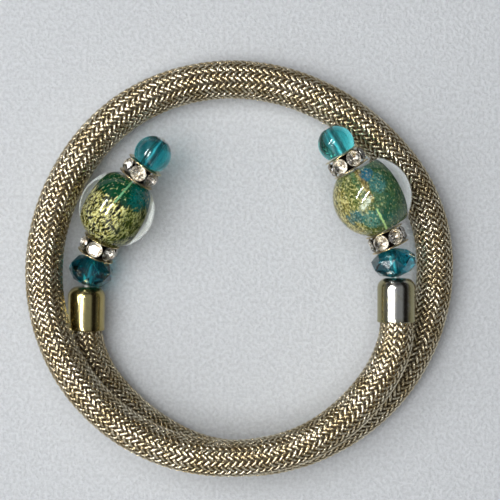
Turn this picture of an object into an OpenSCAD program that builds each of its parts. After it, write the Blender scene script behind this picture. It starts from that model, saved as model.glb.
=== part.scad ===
// Wrap bracelet lying open on a table: a springy wire coil of nearly one and a half turns in a braided
// metal sleeve, with a metal cap and a short string of glass beads and rhinestone spacers on each end.
// Millimetres, +Z up, the table at z = 0. The origin is under the middle of the coil's outline.

/* [Coil] */
// Usual distance from the coil's centre to the middle of the cord
coil_r = 31.5; // [31:0.1:34]
// Usual diameter of the braided cord
cord_d = 6.1; // [5.6:0.1:6.3]
// Thickness of the braided sleeve
sleeve_wall = 0.7; // [0.5:0.1:1]
// Diameter of the spring wire that holds the coil's shape
wire_d = 0.8; // [0.6:0.1:1]
// Space left between the cord and itself where it lies on top of itself
stack_gap = 0.12; // [0.1:0.02:0.4]

/* [End caps] */
// Outside diameter of an end cap
cap_d = 6.25; // [6.1:0.05:6.6]
// Length of an end cap
cap_l = 7.2; // [6.5:0.1:9]
// Wall of an end cap
cap_wall = 0.35; // [0.3:0.05:0.45]
// Radius of the rounded shoulder at the closed end
cap_shoulder = 1.7; // [1:0.1:2.2]
// How far the sleeve reaches into a cap
cap_insert = 5; // [3:0.5:5]

/* [Faceted rondelles] */
// Width across a faceted rondelle
rondelle_d = 7.3; // [6.5:0.1:8]
// Lengths of the left and the right faceted rondelle along the wire
rondelle_l = [5, 4.6]; // [4:0.1:5]
// Width of the small flat round its hole
rondelle_flat_d = 1.8; // [1.8:0.1:2.4]
// Width across the corners where its steep and its shallow facets meet
rondelle_crown_d = 5.2; // [4.2:0.1:5.2]
// Number of main facets round a rondelle
rondelle_sides = 8; // [7:1:10]
// Share of a rondelle's length that its middle band of facets takes
rondelle_band = 0.3; // [0.2:0.05:0.5]
// Share of its length between those corners
rondelle_crown = 0.78; // [0.76:0.02:0.86]

/* [Rhinestone spacers] */
// Diameter of the two thin plates of a spacer
plate_d = 6.3; // [6:0.1:6.6]
// Thickness of one plate
plate_t = 0.14; // [0.12:0.01:0.3]
// Diameter of the hub between the plates
hub_d = 2.7; // [2:0.1:2.8]
// Size of one rhinestone along the wire
stone_d = 2.5; // [2.2:0.05:2.6]
// Size of one rhinestone round the spacer
stone_w = 2.8; // [2.5:0.05:2.9]
// Distance from the wire to the widest part of a stone
stone_reach = 2.62; // [2.6:0.02:2.8]
// Number of stones round a spacer
stones = 6; // [5:1:6]
// Number of crown facets on a stone
stone_sides = 8; // [6:1:10]
// Width of a stone's table, height of its crown and depth of its back, as shares of half its size
stone_table = 0.62; // [0.5:0.02:0.7]
stone_crown = 0.42; // [0.3:0.02:0.5]
stone_back = 0.8; // [0.6:0.05:0.85]

/* [Large beads] */
// Widths of the left and the right large bead
bead_d = [12.4, 12.9]; // [12.2:0.05:13]
// Distances from the middle of each to the flat end that faces its cap, and to the other flat end
bead_near = [5.4, 5.5]; // [5.2:0.05:5.9]
bead_far = [5.6, 5.25]; // [5.2:0.05:5.9]
// Width of the foil core inside the clear glass
core_d = [6.7, 7.8]; // [6:0.1:8.2]
// How full the core's ends are: 1 is an oval, and a lower value is more like a barrel
core_full = 0.5; // [0.5:0.05:1]
// Clear glass over each end of the core
core_skin = 0.35; // [0.3:0.05:0.6]
// Diameter of the hole through a large bead, wider than the wire as in any handmade bead
bead_hole_d = 1.6; // [1.5:0.05:2]
// How far a large bead hangs off the wire, towards the outside of the coil
bead_hang = 0.32; // [0:0.02:0.34]
// How far the clear glass lies off the hole, towards the outside of the coil, as it was gathered by hand
casing_off = [0, 0.6]; // [0:0.05:0.6]
// How far each core lies off the hole, towards the outside of the coil, or its inside where it is negative
core_off = [0.1, -0.15]; // [-0.2:0.05:0.2]

/* [Tip beads] */
// Widths of the left and the right round tip bead
tip_d = [6.05, 5.9]; // [5.8:0.05:6.2]
// Distance from the middle of each to the flat that faces its spacer
tip_near = [1.95, 1.8]; // [1.7:0.05:2.8]
// Distance from the middle of a tip bead to its other flat
tip_far = 2.8; // [2.5:0.05:2.8]
// How far the wire's end stands out of the tip bead
wire_stub = 0.25; // [0.1:0.05:0.6]

/* [Hidden] */
SIDES = ["left", "right"];
PLACES = ["inner", "outer"];
LEFT = 0;
RIGHT = 1;

// Space round the wire in every bead's hole, and between any two pieces that fit together
hole_gap = 0.22;
fit_gap = 0.05;
hole_r = wire_d / 2 + hole_gap;
bead_hole_r = bead_hole_d / 2;

// Facets round the cord and the wire, and degrees of the coil from ring to ring of each
cord_sides = 16;
cord_step = 5;
wire_sides = 8;
wire_step = 10;
// Points along the outline of a round bead, radius of a foil core's blunt tip, degrees between the points
// of a cap's shoulder, how far a cutting shape runs past what it cuts, and faces round a turned piece
bead_points = 22;
core_tip_r = 0.3;
shoulder_step = 15;
past = 1;
$fn = 48;

// The coil's route, counter-clockwise from the left cap's mouth to the right cap's:
// turn     degrees round the coil, 0 at +X
// out      how far the cord's middle lies outside coil_r
// lift     rise of the cord's middle above its height on the table, in cord diameters
// swell    the cord's width against cord_d: drawn in at the caps, and looser on the far side
COIL = [
    // turn  out    lift   swell
    [202,   -5.00,  0.050, 0.885],
    [205,   -4.40,  0.036, 0.96],
    [210,   -3.70,  0.018, 0.99],
    [220,   -3.00,  0.000, 1.00],
    [232,   -2.50,  0.000, 1.00],
    [245,   -1.70,  0.000, 1.00],
    [260,   -0.60,  0.000, 1.00],
    [275,    0.00,  0.000, 1.00],
    [300,    0.60,  0.000, 1.00],
    [320,    1.20,  0.000, 1.00],
    [345,    1.80,  0.000, 1.00],
    [368,    2.10,  0.000, 1.00],
    [385,    1.70,  0.000, 1.01],
    [402,    0.80,  0.000, 1.03],
    [425,    0.25,  0.000, 1.05],
    [455,    0.25,  0.010, 1.05],
    [485,    0.30,  0.110, 1.04],
    [515,   -0.25,  0.320, 1.03],
    [545,   -0.30,  0.600, 1.02],
    [575,   -0.25,  0.890, 1.00],
    [605,   -0.50,  1.000, 1.00],
    [630,   -0.85,  1.010, 1.00],
    [655,   -1.00,  1.010, 1.00],
    [672,   -1.50,  1.010, 1.00],
    [687,   -2.00,  1.015, 0.99],
    [696,   -2.60,  1.025, 0.97],
    [702.5, -3.60,  1.040, 0.885],
];
TURN = 0;
OUT = 1;
LIFT = 2;
SWELL = 3;

// Which way each piece of a string points, from the cap outwards; the cap follows the cord.
// heading is measured in plan from +X, and climb is the rise above the level
STRINGS = [
    [   // left: heading, climb
        [74, 10.5],  // faceted rondelle
        [65, 12],    // inner spacer
        [60.5, 11],  // large bead
        [54.5, 9],   // outer spacer
        [55.5, 8],   // tip bead
    ],
    [   // right: heading, climb
        [100, 3],    // faceted rondelle
        [113.5, 4],  // inner spacer
        [118, 5],    // large bead
        [121.5, 4],  // outer spacer
        [120, 3],    // tip bead
    ],
];
// Space along the wire before each piece of a string, wider where two pieces meet at an angle
SPACES = [
    // cap, rondelle, inner spacer, large bead, outer spacer, tip bead
    [0, 0.32, 0.22, 0.30, 0.36, 0.15],
    [0, 0.22, 0.29, 0.31, 0.29, 0.15],
];
// Turn of each faceted rondelle about the wire, as its facets show in plan
RONDELLE_ROLL = [0, 24];
// Turn of each spacer about the wire, as its stones show in plan: [inner, outer] of each string
SPACER_ROLL = [[53, 0], [28, 24]];
// Side on which the outside of the coil lies, seen along each string from its cap
OUTSIDE = [1, -1];

// Places of the pieces in a string
CAP = 0;
RONDELLE = 1;
INNER_SPACER = 2;
BEAD = 3;
OUTER_SPACER = 4;
TIP = 5;
spacer_l = stone_d + 2 * fit_gap + 2 * plate_t;
bead_l = bead_near + bead_far;

// Smooth value of one column of a table at turn a: a cubic through every row, with the slope at a row
// taken from the rows on both sides of it
function row_at(t, a, i = 0) = i >= len(t) - 2 || a < t[i + 1][0] ? i : row_at(t, a, i + 1);
function slope(t, c, i) = let (j = max(i - 1, 0), k = min(i + 1, len(t) - 1))
    (t[k][c] - t[j][c]) / (t[k][0] - t[j][0]);
function smooth(t, c, a) = let (
        i = row_at(t, a),
        h = t[i + 1][0] - t[i][0],
        u = (a - t[i][0]) / h
    )
    (2 * u * u * u - 3 * u * u + 1) * t[i][c]
    + (u * u * u - 2 * u * u + u) * h * slope(t, c, i)
    + (3 * u * u - 2 * u * u * u) * t[i + 1][c]
    + (u * u * u - u * u) * h * slope(t, c, i + 1);

function unit(v) = v / norm(v);

// Radius of the cord and the place of its middle at turn a, about the coil's own centre
function cord_r(a) = cord_d / 2 * smooth(COIL, SWELL, a);
function coil_point(a) = let (r = coil_r + smooth(COIL, OUT, a), rest = max(cord_d / 2, cord_r(a)))
    [r * cos(a), r * sin(a), rest + max(0, smooth(COIL, LIFT, a)) * (cord_d + stack_gap)];

// The coil's outline lies evenly about the origin
outline_turns = [for (a = [COIL[3][TURN]:1:COIL[3][TURN] + 360]) a];
function middle(c) = let (
        low = min([for (a = outline_turns) coil_point(a)[c] - cord_r(a)]),
        high = max([for (a = outline_turns) coil_point(a)[c] + cord_r(a)])
    ) (low + high) / 2;
coil_middle = [middle(0), middle(1), 0];
function cord_point(a) = coil_point(a) - coil_middle;

// First and last turn of the cord, and the way each end points out into its cap
end_turn = [COIL[0][TURN], COIL[len(COIL) - 1][TURN]];
probe = 0.01;
function end_way(s) = let (a = end_turn[s], way = s == LEFT ? -1 : 1)
    unit((cord_point(a + probe) - cord_point(a - probe)) * way);

// Length of each piece along the wire, and the way it points
function length_of(s, i) =
    [cap_l, rondelle_l[s], spacer_l, bead_l[s], spacer_l, tip_near[s] + tip_far][i];
function way_of(s, i) = i == CAP ? end_way(s)
    : let (h = STRINGS[s][i - 1][0], c = STRINGS[s][i - 1][1]) [cos(h) * cos(c), sin(h) * cos(c), sin(c)];

// Knot i of a string is where the wire may bend before piece i; the last knot is the string's far end
function knot(s, i) = i == 0 ? cord_point(end_turn[s])
    : knot(s, i - 1) + (SPACES[s][i - 1] + length_of(s, i - 1)) * way_of(s, i - 1);

// Puts its children at the middle of piece i of string s, their +Z along the wire and their -X upwards
module on_string(s, i) {
    way = way_of(s, i);
    translate(knot(s, i) + way * (SPACES[s][i] + length_of(s, i) / 2))
        rotate([0, acos(way.z), atan2(way.y, way.x)])
            children();
}

// Hangs its children off the wire by as much as a large bead's wide hole lets it
module hung(s) {
    on_string(s, BEAD) translate([0, OUTSIDE[s] * bead_hang, 0]) children();
}

// One ring of points across a route at p, for a tube of radius r that runs along way
function ring(p, way, r, sides) = let (out = unit(cross(way, [0, 0, 1])), up = cross(out, way))
    [for (k = [0:sides - 1]) p + r * (cos(360 * k / sides) * out + sin(360 * k / sides) * up)];

// The way a route of points runs at its point i
function route_way(route, i) =
    unit(route[min(i + 1, len(route) - 1)] - route[max(i - 1, 0)]);

// A tube swept along a route, with a radius for each point; inner radii of 0 leave it solid
module swept_tube(route, radii, inner_radii, sides) {
    n = len(route);
    hollow = inner_radii[0] > 0;
    outer = [for (i = [0:n - 1]) each ring(route[i], route_way(route, i), radii[i], sides)];
    inner = !hollow ? []
        : [for (i = [0:n - 1]) each ring(route[i], route_way(route, i), inner_radii[i], sides)];
    last = (n - 1) * sides;
    in = n * sides;
    side_pairs = [for (i = [0:n - 2], k = [0:sides - 1]) [i * sides + k, i * sides + (k + 1) % sides]];
    outer_faces = [for (p = side_pairs) each [
        [p[0], p[0] + sides, p[1]],
        [p[1], p[0] + sides, p[1] + sides]
    ]];
    inner_faces = [for (p = side_pairs) each [
        [in + p[0], in + p[1], in + p[0] + sides],
        [in + p[1], in + p[1] + sides, in + p[0] + sides]
    ]];
    rims = [for (k = [0:sides - 1]) let (j = (k + 1) % sides) each [
        [k, j, in + j],
        [k, in + j, in + k],
        [last + k, last + in + j, last + j],
        [last + k, last + in + k, last + in + j]
    ]];
    discs = [[for (k = [0:sides - 1]) k], [for (k = [sides - 1:-1:0]) last + k]];
    polyhedron(
        points = concat(outer, inner),
        faces = hollow ? concat(outer_faces, inner_faces, rims) : concat(outer_faces, discs),
        convexity = 12
    );
}

// Outline of a round bead in its half plane, from the flat at its near end to the flat at its far end, with
// its inner edge at a distance from the axis. Height 0 is halfway between the two flats
function round_outline(width, near, far, inner) = let (
        low = -asin(2 * near / width),
        high = asin(2 * far / width),
        middle = (near - far) / 2
    ) concat(
        [[inner, middle - near]],
        [for (i = [0:bead_points]) let (t = low + (high - low) * i / bead_points)
            [width / 2 * cos(t), middle + width / 2 * sin(t)]],
        [[inner, middle + far]]
    );

// A cut body from rings of points, each given as [radius, height]; every ring is turned half a facet
// against the one below, so that the bands are triangles. A radius of 0 closes it to a point. The body is
// wider along Y by the factor wide
module cut_body(rings, sides, wide = 1) {
    n = len(rings);
    tip = rings[0][0] == 0;
    first = tip ? 1 : 0;
    points = [for (i = [first:n - 1], k = [0:sides - 1])
        let (a = 360 * (k + i / 2) / sides) [rings[i][0] * cos(a), rings[i][0] * wide * sin(a), rings[i][1]]];
    bands = [for (i = [0:n - 2 - first], k = [0:sides - 1]) let (b = i * sides, j = (k + 1) % sides)
        each [[b + k, b + sides + k, b + j], [b + j, b + sides + k, b + sides + j]]];
    count = len(points);
    top = [for (k = [sides - 1:-1:0]) count - sides + k];
    bottom = tip ? [for (k = [0:sides - 1]) [count, k, (k + 1) % sides]] : [[for (k = [0:sides - 1]) k]];
    polyhedron(
        points = tip ? concat(points, [[0, 0, rings[0][1]]]) : points,
        faces = concat(bands, [top], bottom),
        convexity = 2
    );
}

// Braided tube of fine metal yarn, hollow round the wire, its ends drawn into the caps
module mesh_sleeve() {
    turns = [for (a = [end_turn[0]:cord_step:end_turn[1]]) a];
    ends = [for (s = [LEFT, RIGHT]) cord_point(end_turn[s]) + end_way(s) * cap_insert];
    route = concat([ends[0]], [for (a = turns) cord_point(a)], [cord_point(end_turn[1])], [ends[1]]);
    radii = concat(
        [cord_r(end_turn[0])], [for (a = turns) cord_r(a)], [cord_r(end_turn[1])], [cord_r(end_turn[1])]);
    color("darkkhaki")
        swept_tube(route, radii, [for (r = radii) r - sleeve_wall], cord_sides);
}

// Spring wire from tip to tip, straight inside each bead and curved in the cord
module memory_wire() {
    coil_turns = [for (a = [end_turn[0] + wire_step:wire_step:end_turn[1] - wire_step / 2]) a];
    stub = [for (s = [LEFT, RIGHT]) knot(s, TIP + 1) + way_of(s, TIP) * wire_stub];
    route = concat(
        [stub[LEFT]],
        [for (i = [TIP:-1:0]) knot(LEFT, i)],
        [for (a = coil_turns) cord_point(a)],
        [for (i = [0:TIP]) knot(RIGHT, i)],
        [stub[RIGHT]]
    );
    color("silver")
        swept_tube(route, [for (p = route) wire_d / 2], [0], wire_sides);
}

// Turned metal cup with a rounded shoulder: the sleeve is glued into its mouth, and the wire leaves by a
// hole in the closed end
module end_cap(s) {
    r = cap_d / 2;
    corner = r - cap_shoulder;
    start = cap_l - cap_shoulder;
    arc = [for (t = [0:shoulder_step:90]) [corner + cap_shoulder * cos(t), start + cap_shoulder * sin(t)]];
    color(s == LEFT ? "darkgoldenrod" : "silver")
        on_string(s, CAP)
            translate([0, 0, -cap_l / 2])
                difference() {
                    rotate_extrude() polygon(concat([[0, 0], [r, 0]], arc, [[0, cap_l]]));
                    translate([0, 0, -past]) cylinder(r = r - cap_wall, h = start + past);
                    cylinder(r = hole_r, h = cap_l + past);
                }
}

// Cut crystal rondelle: a band of triangles round the middle, and a steep and a shallow one on each side of it
module faceted_rondelle(s) {
    r = rondelle_d / 2;
    half = rondelle_l[s] / 2;
    color("teal")
        on_string(s, RONDELLE)
            rotate(RONDELLE_ROLL[s])
                difference() {
                    cut_body([
                        [rondelle_flat_d / 2, -half],
                        [rondelle_crown_d / 2, -half * rondelle_crown],
                        [r, -half * rondelle_band],
                        [r, half * rondelle_band],
                        [rondelle_crown_d / 2, half * rondelle_crown],
                        [rondelle_flat_d / 2, half]
                    ], rondelle_sides);
                    cylinder(r = hole_r, h = rondelle_l[s] + past, center = true);
                }
}

// Two thin plates and the hub between them, soldered together: the setting of one spacer's stones
module spacer(s, p) {
    color("gold")
        on_string(s, p == 0 ? INNER_SPACER : OUTER_SPACER)
            difference() {
                union() {
                    for (z = [-1, 1])
                        translate([0, 0, z * (spacer_l - plate_t) / 2])
                            cylinder(d = plate_d, h = plate_t, center = true);
                    cylinder(d = hub_d, h = spacer_l - plate_t, center = true);
                }
                cylinder(r = hole_r, h = spacer_l + past, center = true);
            }
}

// Small brilliant with a table, a crown of triangles and a pointed back; its table faces away from the wire
module rhinestone(s, p, i) {
    girdle_r = stone_d / 2;
    rings = [[0, -girdle_r * stone_back], [girdle_r, 0], [girdle_r * stone_table, girdle_r * stone_crown]];
    color("ghostwhite")
        on_string(s, p == 0 ? INNER_SPACER : OUTER_SPACER)
            rotate(SPACER_ROLL[s][p] + 360 * i / stones)
                translate([stone_reach, 0, 0])
                    rotate([0, 90, 0])
                        cut_body(rings, stone_sides, stone_w / stone_d);
}

// Space for the foil core in the clear glass, and the core itself, share one barrel shape with round ends
module core_shape(s, extra) {
    r = core_d[s] / 2 + extra;
    half = bead_l[s] / 2 - core_skin + extra;
    last = acos(pow(core_tip_r / r, 1 / core_full));
    side = [for (i = [0:bead_points]) let (t = last * (2 * i / bead_points - 1))
        [r * pow(cos(t), core_full), half * sin(t)]];
    translate([0, OUTSIDE[s] * core_off[s], 0])
        rotate_extrude() polygon(concat([[0, -half]], side, [[0, half]]));
}

// Clear glass of a large bead, round with two flat ends, round its core
module glass_casing(s) {
    color("honeydew", 0.4)
        hung(s)
            difference() {
                translate([0, OUTSIDE[s] * casing_off[s], 0])
                    rotate_extrude() polygon(round_outline(bead_d[s], bead_near[s], bead_far[s], 0));
                core_shape(s, fit_gap);
                cylinder(r = bead_hole_r, h = bead_l[s] + past, center = true);
            }
}

// Coloured glass core wrapped in gold foil
module foil_core(s) {
    color(s == LEFT ? "olive" : "seagreen")
        hung(s)
            difference() {
                core_shape(s, 0);
                cylinder(r = bead_hole_r, h = bead_l[s] + past, center = true);
            }
}

// Plain round bead of clear teal glass that closes the string
module tip_bead(s) {
    color("darkturquoise", 0.7)
        on_string(s, TIP)
            rotate_extrude() polygon(round_outline(tip_d[s], tip_near[s], tip_far, hole_r));
}

mesh_sleeve();
memory_wire();
for (s = [LEFT, RIGHT]) {
    end_cap(s);
    faceted_rondelle(s);
    glass_casing(s);
    foil_core(s);
    tip_bead(s);
    for (p = [0, 1]) {
        spacer(s, p);
        for (i = [1:stones])
            rhinestone(s, p, i);
    }
}
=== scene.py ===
import math

import bpy
import numpy as np
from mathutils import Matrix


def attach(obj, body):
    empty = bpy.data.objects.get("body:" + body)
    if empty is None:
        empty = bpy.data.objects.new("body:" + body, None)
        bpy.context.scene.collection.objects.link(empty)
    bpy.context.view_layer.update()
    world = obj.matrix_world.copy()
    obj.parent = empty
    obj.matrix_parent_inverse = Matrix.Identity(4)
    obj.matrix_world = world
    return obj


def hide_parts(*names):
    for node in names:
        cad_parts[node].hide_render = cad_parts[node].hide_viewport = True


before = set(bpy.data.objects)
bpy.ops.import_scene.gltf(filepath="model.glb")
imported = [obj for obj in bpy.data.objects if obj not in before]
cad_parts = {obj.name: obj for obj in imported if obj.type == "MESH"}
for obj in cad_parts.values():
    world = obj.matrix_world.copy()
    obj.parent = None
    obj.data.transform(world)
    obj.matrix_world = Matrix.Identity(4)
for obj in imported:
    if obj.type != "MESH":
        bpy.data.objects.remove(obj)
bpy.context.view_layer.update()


# Camera, light and paper. The bracelet was photographed from straight above, on a sheet of rough white
# drawing paper, by a window at the upper left. All sizes in this file are millimetres until a mesh or an
# object is made, and MM turns them into metres.
MM = 0.001
camera_height = 300
camera_over = (1.60, 3.08)
camera_lens = 128.26
camera_sensor = 36
paper_size = 4000
paper_rgb = (0.71, 0.735, 0.765)
paper_shade = 0.86
paper_grain = 0.25
window_middle = (-330, 60, 560)
window_lean = 52
pane_size = (60, 460)
pane_spacing = 250
pane_watts = 2.7
glow_middle = (-420, -80, 420)
glow_size = (600, 700)
glow_watts = 1.65
ceiling_middle = (-220, 40, 800)
ceiling_size = (900, 900)
ceiling_watts = 6.5


class Shade:
    """An output of a shader node. Arithmetic on one that carries a number adds Math nodes."""

    def __init__(self, nodes, socket):
        self.nodes, self.socket = nodes, socket

    def math(self, operation, *values):
        """A Math node's operation on these numbers."""
        return self.nodes.node("ShaderNodeMath", {"operation": operation}, dict(enumerate(values)))

    def __add__(self, other):
        return self.math("ADD", self, other)

    def __radd__(self, other):
        return self.math("ADD", other, self)

    def __sub__(self, other):
        return self.math("SUBTRACT", self, other)

    def __rsub__(self, other):
        return self.math("SUBTRACT", other, self)

    def __mul__(self, other):
        return self.math("MULTIPLY", self, other)

    def __rmul__(self, other):
        return self.math("MULTIPLY", other, self)

    def __truediv__(self, other):
        return self.math("DIVIDE", self, other)

    def __rtruediv__(self, other):
        return self.math("DIVIDE", other, self)

    def __pow__(self, other):
        return self.math("POWER", self, other)

    def __rpow__(self, other):
        return self.math("POWER", other, self)

    def __abs__(self):
        return self.math("ABSOLUTE", self)

    def step(self, low, high):
        """0 below low, 1 above high, and smooth between them. With low above high it runs the other
        way."""
        return self.nodes.node("ShaderNodeMapRange", {"interpolation_type": "SMOOTHSTEP"},
                               {"Value": self, "From Min": low, "From Max": high})


class Nodes:
    """A node tree, the one method that adds a node to it, and short names for the nodes that recur."""

    def __init__(self, tree):
        self.tree = tree

    def node(self, kind, settings, inputs, output=0):
        """Adds a node of a kind, makes its settings, sets or links its inputs, and returns one output."""
        node = self.tree.nodes.new(kind)
        for name, setting in settings.items():
            if name == "stops":
                ramp = node.color_ramp
                while len(ramp.elements) < len(setting):
                    ramp.elements.new(0.5)
                for element, (place, rgb) in zip(ramp.elements, setting):
                    element.position = place
                    element.color = (*rgb, 1)
            else:
                setattr(node, name, setting)
        for name, value in inputs.items():
            self.feed(node.inputs[name], value)
        return Shade(self, node.outputs[output])

    def feed(self, socket, value):
        """Links an output to a socket, or sets the socket to a colour or a number."""
        if isinstance(value, Shade):
            self.tree.links.new(value.socket, socket)
        elif isinstance(value, tuple) and socket.type == "RGBA":
            socket.default_value = (*value, 1)
        else:
            socket.default_value = value

    def mix(self, factor, first, second):
        """Colour first where factor is 0 and second where it is 1."""
        return self.node("ShaderNodeMix", {"data_type": "RGBA"}, {0: factor, 6: first, 7: second}, 2)

    def ramp(self, factor, *stops):
        """The colour at factor between stops, each a place and a colour."""
        return self.node("ShaderNodeValToRGB", {"stops": stops}, {0: factor})

    def spot(self, middle=(0, 0, 0), turn=(0, 0, 0), stretch=(1, 1, 1)):
        """Object coordinates in millimetres about a point, along axes turned by three angles. A pattern
        on them is drawn out by stretch."""
        place = self.node("ShaderNodeTexCoord", {}, {}, "Object")
        return self.node("ShaderNodeMapping", {"vector_type": "TEXTURE"},
                         {"Vector": place, "Location": tuple(MM * m for m in middle), "Rotation": turn,
                          "Scale": tuple(MM * s for s in stretch)})

    def parts(self, vector):
        """The three numbers of a vector."""
        split = self.node("ShaderNodeSeparateXYZ", {}, {0: vector}).socket.node
        return [Shade(self, split.outputs[axis]) for axis in "XYZ"]

    def attribute(self, title):
        """A number that the mesh gives each of its points."""
        return self.node("ShaderNodeAttribute", {"attribute_name": title}, {}, "Fac")

    def noise(self, place, per_mm, detail=2.0, rough=0.5, bend=0.0):
        """A cloudy number from 0 to 1, about 0.5, with per_mm lumps to a millimetre."""
        return self.node("ShaderNodeTexNoise", {}, {"Vector": place, "Scale": per_mm, "Detail": detail,
                                                    "Roughness": rough, "Distortion": bend})

    def bump(self, height, depth):
        """A surface normal raised by height times depth, in millimetres."""
        return self.node("ShaderNodeBump", {}, {"Height": height, "Strength": 1.0, "Distance": depth * MM})


def finish(name, **sockets):
    """A new material, with the Principled shader's sockets set by name, and its nodes."""
    material = bpy.data.materials.new(name)
    material.use_nodes = True
    nodes = Nodes(material.node_tree)
    nodes.material = material
    nodes.shader = material.node_tree.nodes["Principled BSDF"]
    dress(nodes, **sockets)
    return nodes


def dress(nodes, **sockets):
    """Sets or links sockets of the Principled shader; base_color stands for Base Color, and so on."""
    for name, value in sockets.items():
        title = "IOR" if name == "ior" else name.replace("_", " ").title()
        nodes.feed(nodes.shader.inputs[title], value)


def surface(name, points, faces, finishes, smooth=None, uses=None, crisp=None, attributes=None):
    """A mesh from points[..., xyz] in millimetres and faces, a list of arrays with a row of corner
    numbers for each face. smooth and uses give each array's shading and the finish it has. crisp is the
    angle in degrees past which an edge stays sharp. attributes gives each point a number by name."""
    points = np.asarray(points, float)
    counts = [len(group) for group in faces]
    sizes = np.repeat([group.shape[1] for group in faces], counts)
    corners = np.concatenate([group.ravel() for group in faces]).astype(np.int32)
    mesh = bpy.data.meshes.new(name)
    mesh.vertices.add(points[..., 0].size)
    mesh.vertices.foreach_set("co", (points * MM).astype(np.float32).ravel())
    mesh.loops.add(len(corners))
    mesh.loops.foreach_set("vertex_index", corners)
    mesh.polygons.add(len(sizes))
    mesh.polygons.foreach_set("loop_start", (np.cumsum(sizes) - sizes).astype(np.int32))
    mesh.polygons.foreach_set("use_smooth", np.repeat(smooth or [True] * len(faces), counts))
    mesh.polygons.foreach_set("material_index", np.repeat(uses or [0] * len(faces), counts))
    mesh.update(calc_edges=True)
    if crisp:
        mesh.set_sharp_from_angle(angle=math.radians(crisp))
    for title, values in (attributes or {}).items():
        spread = np.broadcast_to(values, points.shape[:-1]).astype(np.float32)
        mesh.attributes.new(title, "FLOAT", "POINT").data.foreach_set("value", spread.ravel())
    for one in finishes:
        mesh.materials.append(one.material)
    piece = bpy.data.objects.new(name, mesh)
    bpy.context.scene.collection.objects.link(piece)
    return piece


def grid_surface(name, points, one_finish, closed=(False, True), **options):
    """A surface from points[tube, ring, around, xyz]: quads join each ring to the next one, and each
    point to the next one around. closed says whether the rings, and the points around, come back to
    their start. Open tubes end in flat discs."""
    points = points if points.ndim == 4 else points[None]
    tubes, rings, around = points.shape[:3]
    index = np.arange(tubes * rings * around).reshape(tubes, rings, around)
    this = index if closed[0] else index[:, :-1]
    after = np.roll(index, -1, 1) if closed[0] else index[:, 1:]
    here, there = (this, after) if closed[1] else (this[:, :, :-1], after[:, :, :-1])
    here_on = np.roll(this, -1, 2) if closed[1] else this[:, :, 1:]
    there_on = np.roll(after, -1, 2) if closed[1] else after[:, :, 1:]
    faces = [np.stack([here, here_on, there_on, there], -1).reshape(-1, 4)]
    if closed[1] and not closed[0]:
        faces.append(np.concatenate([index[:, 0, ::-1], index[:, -1]]))
        options["smooth"] = [True, False]
    return surface(name, points, faces, [one_finish], **options)


def fit(piece, slot, *nodes):
    """The piece moves with the bracelet and stands for these solids, which are hidden. slot is not used."""
    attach(piece, "root")
    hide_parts(*nodes)


camera_data = bpy.data.cameras.new("camera")
camera_data.lens = camera_lens
camera_data.sensor_width = camera_sensor
camera_data.clip_start = 10 * MM
camera = bpy.data.objects.new("camera", camera_data)
camera.location = (camera_over[0] * MM, camera_over[1] * MM, camera_height * MM)
bpy.context.scene.collection.objects.link(camera)
bpy.context.scene.camera = camera
bpy.context.scene.view_settings.view_transform = "Standard"


def soft_light(name, middle, size, watts, mirrored, lean=90, aside=0):
    """A rectangle of light that faces the bracelet. Its long side runs along heading lean in plan, and
    it is moved aside along its short one. A light is either mirrored, or lights dull surfaces, also
    through glass."""
    away = np.array(middle, float)
    away /= np.linalg.norm(away)
    long_way = np.array([math.cos(math.radians(lean)), math.sin(math.radians(lean)), 0])
    long_way -= long_way.dot(away) * away
    long_way /= np.linalg.norm(long_way)
    short_way = np.cross(long_way, away)
    light = bpy.data.lights.new(name, "AREA")
    light.shape = "RECTANGLE"
    light.size, light.size_y = size[0] * MM, size[1] * MM
    light.energy = watts
    holder = bpy.data.objects.new(name, light)
    standing = np.eye(4)
    standing[:3, :3] = np.stack([short_way, long_way, away], 1)
    standing[:3, 3] = (middle + aside * short_way) * MM
    holder.matrix_world = standing.T.tolist()
    holder.visible_camera = False
    holder.visible_diffuse = not mirrored
    holder.visible_glossy = mirrored
    holder.visible_transmission = not mirrored
    bpy.context.scene.collection.objects.link(holder)


for number, side in enumerate((-1, 1)):
    soft_light(f"window_pane_{number + 1}", window_middle, pane_size, pane_watts, True, window_lean,
               side * pane_spacing / 2)
soft_light("window_glow", glow_middle, glow_size, glow_watts, False, window_lean)
soft_light("ceiling", ceiling_middle, ceiling_size, ceiling_watts, False)

# The room that the polished pieces mirror, by the angle of a direction about the Y axis: 0 is the right
# horizon, 0.5 is overhead and 1 the left horizon. A dark wall stands at the right, the window glows at the
# left, and towards the far side the room is dark.
room = [
    (0.00, (0.30, 0.30, 0.30)),
    (0.10, (0.10, 0.10, 0.10)),
    (0.16, (0.012, 0.010, 0.008)),
    (0.27, (0.012, 0.010, 0.008)),
    (0.33, (0.28, 0.29, 0.30)),
    (0.50, (0.24, 0.25, 0.27)),
    (0.58, (0.36, 0.37, 0.39)),
    (0.61, (1.30, 1.30, 1.30)),
    (0.70, (1.30, 1.30, 1.30)),
    (0.74, (0.30, 0.31, 0.32)),
    (0.82, (0.05, 0.05, 0.05)),
    (0.92, (0.16, 0.16, 0.16)),
    (1.00, (0.45, 0.45, 0.45)),
]
room_far_rgb = (0.01, 0.009, 0.008)
room_strength = 1.25
backdrop_rgb = (0.72, 0.74, 0.76)
world = bpy.data.worlds.new("room")
bpy.context.scene.world = world
world.use_nodes = True
world.cycles_visibility.diffuse = False
sky = Nodes(world.node_tree)
right, far, up = sky.parts(sky.node("ShaderNodeTexCoord", {}, {}, "Generated"))
glow = sky.ramp(sky.node("ShaderNodeMath", {"operation": "ARCTAN2"}, {0: up, 1: right}) / math.pi, *room)
glow = sky.mix(far.step(0.3, 0.75) * 0.75, glow, room_far_rgb)
seen = sky.node("ShaderNodeLightPath", {}, {}, "Is Camera Ray")
backdrop = world.node_tree.nodes["Background"]
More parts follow.
